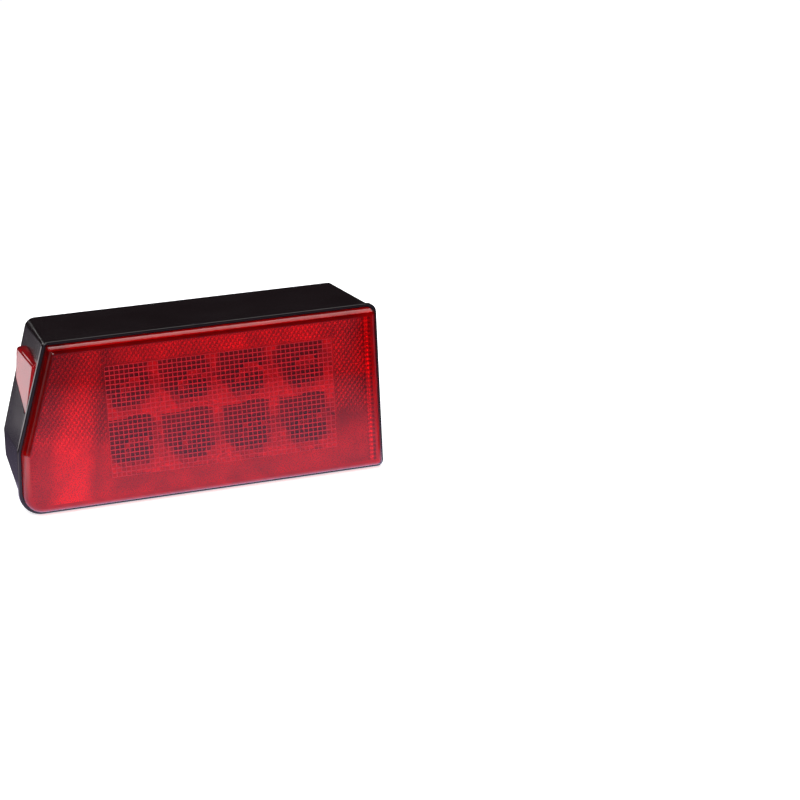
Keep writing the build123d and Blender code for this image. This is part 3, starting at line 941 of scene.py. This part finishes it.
# ---------------------------------------------------------------- fastenings at the back
def stud_rings(head_front, tip):
    """Rings of radius and depth along a stud: the head, the neck, the thread and a chamfered tip."""
    head_back = head_front + head_thickness
    plain = [(0.0, head_front + 0.6), (4.6, head_front), (6.6, head_front + 0.5)]
    plain += [(stud_head, head_front + 1.3), (stud_head - 0.1, head_back), (stud_neck, head_back)]
    plain += [(stud_neck, -0.1), (stud_radius - 0.1, 0.0)]
    rings = [[point] * stud_sides for point in plain]
    count = int((tip - 2.2) / thread_pitch * thread_lines)
    for step in range(count + 1):
        y = thread_start + step * thread_pitch / thread_lines
        runout = min(1.0, max(0.0, tip - 1.2 - y))
        ring = []
        for k in range(stud_sides):
            phase = (y / thread_pitch - k / stud_sides) % 1.0
            depth = thread_depth * abs(2.0 * phase - 1.0)
            ring.append((stud_radius - 0.02 - depth * runout, y))
        rings.append(ring)
    for point in ((stud_radius - 0.45, tip - 0.9), (stud_radius - 1.1, tip), (0.0, tip)):
        rings.append([point] * stud_sides)
    return rings


def make_studs(material):
    """The mounting studs: a round head and plain neck in the body, and a rolled thread behind it."""
    low, high = number_box("mounting_studs")
    rings = stud_rings(low[1], high[1])
    vertices = []
    faces = []
    for side in (-1, 1):
        centre = side * (high[0] - stud_head)
        base = len(vertices)
        for ring in rings:
            for k, (radius, y) in enumerate(ring):
                angle = 2 * math.pi * k / stud_sides
                vertices.append((centre + radius * math.cos(angle), y, radius * math.sin(angle)))
        for r in range(len(rings) - 1):
            for k in range(stud_sides):
                a = base + r * stud_sides + k
                b = base + r * stud_sides + (k + 1) % stud_sides
                faces.append((a, b, b + stud_sides, a + stud_sides))
    lathe_piece("threaded_studs", "mounting_studs", vertices, faces, material, 28.0)


def make_grommet(material):
    """The rubber grommet: a lathed ring with round lips and a slightly flared hole."""
    low, high = number_box("wire_grommet")
    centre_z = (low[2] + high[2]) / 2
    lip = (high[2] - low[2]) / 2
    front = low[1]
    hole, waist = grommet_hole, grommet_waist
    profile = [(hole + 0.5, front), (lip - 0.9, front), (lip, front + 0.5), (lip, front + 1.3)]
    profile += [(waist, front + 1.5), (waist, -1.5), (lip, -1.3), (lip, -0.5), (lip - 0.9, 0.0)]
    profile += [(hole + 0.9, 0.0), (hole, -0.9), (hole, front + 0.5)]
    loop = softened(profile + [profile[0]], 0.3, 3)
    count = len(loop)
    vertices = []
    faces = []
    for k in range(grommet_sides):
        angle = 2 * math.pi * k / grommet_sides
        for radius, y in loop:
            vertices.append((radius * math.cos(angle), y, centre_z + radius * math.sin(angle)))
        for i in range(count - 1):
            a = k * count + i
            b = ((k + 1) % grommet_sides) * count + i
            faces.append((a, b, b + 1, a + 1))
    lathe_piece("cable_grommet", "wire_grommet", vertices, faces, material, 50.0)


# ---------------------------------------------------------------- stage, in metres
floor_size = 12.0
floor_gap = 0.0004  # the floor is this far below the lamp
floor_light = 0.62
mirror_light = 1.12
mirror_depths = (  # the floor's glow in reflections, from nearer the camera to behind the lamp
    (0.05, 0.22),
    (0.12, 0.40),
    (0.255, 0.66),
    (0.39, 1.0),
    (0.45, 0.90),
    (0.50, 0.12),
    (0.60, 0.06),
    (0.95, 0.04),
)
camera_place = (-0.293357, -1.271907, 0.339161)
camera_angles = (18.682, 15.481, 2.545)  # azimuth, elevation and roll, in degrees
camera_lens = 107.37  # on a sensor 36 mm wide


def mirrored_floor(s):
    """The floor's glow in reflections, set by place to match the haze that the photo's lens shows."""
    across, depth, _ = s.axes(s.place)
    shade = s.levels(s.spread(depth, 0.0, 1.0, -0.5, 0.5), *mirror_depths)
    tint = s.blend(s.spread(across, 0.0, 1.0, -0.16, -0.12), (1.0, 0.86, 1.0), (1.0, 0.84, 1.26))
    outer_side = s.spread(across, 2.3, 1.0, -0.19, -0.12)
    past_end = s.math("ADD", s.math("SUBTRACT", across, 0.0975), s.math("MULTIPLY_ADD", depth, 0.319, 0.0233))
    inner_side = s.spread(past_end, 1.0, 0.22, 0.012, 0.040)
    strength = s.times(outer_side, inner_side, mirror_light)
    return s.add("Emission", Color=s.blend(1.0, shade, tint, "MULTIPLY"), Strength=strength).outputs[0]


def floor_paper():
    """Plain pale paper to the eye and as fill light, but a glow that varies by place in reflections."""
    s = Shader("floor_paper")
    mottle = s.blend(s.noise(3.0, 2.0), grey(0.90), grey(0.93))
    plain = s.add("BsdfDiffuse", Color=mottle).outputs[0]
    glow = s.add("Emission", Color=grey(1.0), Strength=floor_light).outputs[0]
    lit = s.add("AddShader", in0=plain, in1=glow).outputs[0]
    path = s.add("LightPath").outputs
    direct = s.math("MAXIMUM", path["Is Camera Ray"], path["Is Diffuse Ray"])
    return s.done(s.add("MixShader", in0=direct, in1=mirrored_floor(s), in2=lit).outputs[0])


def make_stage():
    """The floor just under the lamp."""
    mesh = bpy.data.meshes.new("floor")
    grid = bmesh.new()
    bmesh.ops.create_grid(grid, x_segments=8, y_segments=8, size=floor_size)
    bmesh.ops.translate(grid, vec=(0, 0, cad_box[0][2] - floor_gap), verts=grid.verts)
    grid.to_mesh(mesh)
    grid.free()
    mesh.materials.append(floor_paper())
    floor = bpy.data.objects.new("floor", mesh)
    bpy.context.scene.collection.objects.link(floor)


def make_world():
    """A studio that is pale to the eye, soft for fill, and dim in reflections."""
    world = bpy.data.worlds.new("studio")
    bpy.context.scene.world = world
    world.use_nodes = True
    tree = world.node_tree
    tree.nodes.clear()
    path = tree.nodes.new("ShaderNodeLightPath")
    background = tree.nodes.new("ShaderNodeBackground")
    out = tree.nodes.new("ShaderNodeOutputWorld")
    to_the_eye = tree.nodes.new("ShaderNodeMixRGB")
    for_fill = tree.nodes.new("ShaderNodeMixRGB")
    to_the_eye.inputs[1].default_value = (0.020, 0.014, 0.016, 1.0)
    to_the_eye.inputs[2].default_value = (0.95, 0.95, 0.95, 1.0)
    for_fill.inputs[2].default_value = (0.42, 0.42, 0.43, 1.0)
    tree.links.new(path.outputs["Is Camera Ray"], to_the_eye.inputs[0])
    tree.links.new(path.outputs["Is Diffuse Ray"], for_fill.inputs[0])
    tree.links.new(to_the_eye.outputs[0], for_fill.inputs[1])
    tree.links.new(for_fill.outputs[0], background.inputs["Color"])
    tree.links.new(background.outputs[0], out.inputs["Surface"])


def add_panel(name, place, aim, size, power, colour=(1.0, 1.0, 1.0)):
    """A soft rectangular light that points at a place."""
    light = bpy.data.lights.new(name, "AREA")
    light.shape = "RECTANGLE"
    light.size, light.size_y = size
    light.energy = power
    light.color = colour
    lamp = bpy.data.objects.new(name, light)
    lamp.location = place
    lamp.rotation_euler = (Vector(aim) - Vector(place)).to_track_quat("-Z", "Y").to_euler()
    lamp.visible_camera = False
    bpy.context.scene.collection.objects.link(lamp)


def make_lights():
    """A front fill, an overhead softbox, and three small lights for the outer end."""
    pink = (1.0, 0.94, 0.96)
    rose = (1.0, 0.92, 0.98)
    marker = (-0.092, -0.04, 0.016)
    add_panel("front_fill", (-0.55, -1.10, 0.95), (0.0, 0.0, 0.0), (0.9, 0.7), 18.0)
    add_panel("overhead_box", (0.26, 0.42, 0.90), (0.0, -0.06, 0.03), (1.3, 0.85), 6.6)
    add_panel("end_panel", (-0.186, 0.197, -0.012), marker, (0.085, 0.070), 0.0205, pink)
    add_panel("side_glow", (-1.05, -0.29, 0.11), (-0.08, -0.06, 0.0), (0.45, 0.45), 0.27, rose)
    add_panel("corner_glow", (-0.195, 0.53, 0.172), (-0.09, -0.04, 0.03), (0.10, 0.07), 0.034)


def make_camera():
    """The viewing angle: a little above and to the outer side, rolled slightly."""
    azimuth, elevation, roll = (math.radians(a) for a in camera_angles)
    flat = math.cos(elevation)
    forward = Vector((math.sin(azimuth) * flat, math.cos(azimuth) * flat, -math.sin(elevation)))
    level = Vector((math.cos(azimuth), -math.sin(azimuth), 0.0))
    upright = level.cross(forward)
    right = level * math.cos(roll) - upright * math.sin(roll)
    up = level * math.sin(roll) + upright * math.cos(roll)
    data = bpy.data.cameras.new("camera")
    data.sensor_width = 36.0
    data.lens = camera_lens
    data.clip_end = 100.0
    camera = bpy.data.objects.new("camera", data)
    turn = Matrix((right, up, -forward)).transposed().to_4x4()
    camera.matrix_world = Matrix.Translation(camera_place) @ turn
    bpy.context.scene.collection.objects.link(camera)
    bpy.context.scene.camera = camera


# ---------------------------------------------------------------- the whole scene
make_camera()
make_world()
make_lights()
make_stage()
bpy.context.scene.view_settings.view_transform = "Standard"

zinc = metal("zinc_plating", (0.46, 0.45, 0.42), (0.68, 0.67, 0.63), 0.22, 0.45)
tinned = metal("tinned_copper", (0.66, 0.62, 0.56), (0.82, 0.80, 0.76), 0.25, 0.45, 500.0)
seal = rubber()
green = board_green()
package_white = plastic("led_package_white", (0.16, 0.15, 0.14), (0.26, 0.25, 0.23), 0.35, 0.55)
epoxy = plastic("epoxy_black", (0.014, 0.013, 0.013), (0.040, 0.038, 0.037), 0.35, 0.6, 700.0)
wire_red = plastic("wire_red", (0.42, 0.012, 0.012), (0.58, 0.022, 0.020), 0.3, 0.5, 350.0)
resin = resin_dome()
carried = {
    "housing": black_plastic(),
    "lens_seal": seal,
    "plate_window": clear_plastic(),
    "main_board": green,
    "side_board": green,
    "plate_board": green,
    "board_screws": zinc,
    "side_board_screws": zinc,
    "plate_board_screws": zinc,
    "led_packages": package_white,
    "side_led_packages": package_white,
    "plate_led_packages": package_white,
    "led_terminals": tinned,
    "regulator_tab": tinned,
    "header_pins": tinned,
    "led_domes": lamp_dome(),
    "side_led_domes": resin,
    "plate_led_domes": resin,
    "resistors": plastic("chip_glaze", (0.010, 0.010, 0.012), (0.035, 0.035, 0.038), 0.18, 0.35, 900.0),
    "diodes": epoxy,
    "regulator": epoxy,
    "capacitors": metal("bare_can", (0.62, 0.63, 0.65), (0.80, 0.81, 0.83), 0.2, 0.4, 220.0),
    "supply_header": plastic("nylon", (0.62, 0.58, 0.48), (0.76, 0.73, 0.63), 0.4, 0.6, 300.0),
    "side_jumper_wires": wire_red,
    "plate_jumper_wires": wire_red,
}
for name, material in carried.items():
    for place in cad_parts[name].material_slots:
        place.material = material

lens_red = red_glass("lens_red", (0.80, 0.010, 0.016), (0.88, 0.10, 0.12), 60.0)
marker_red = red_glass("marker_red", (0.66, 0.014, 0.024), (0.85, 0.10, 0.12), 90.0, 0.80)
make_main_lens([lens_red, reflex_red(), rib_red(), painted_rim_shading()])
make_reflector(bright_plating())
make_side_marker(marker_red)
make_studs(zinc)
make_grommet(seal)
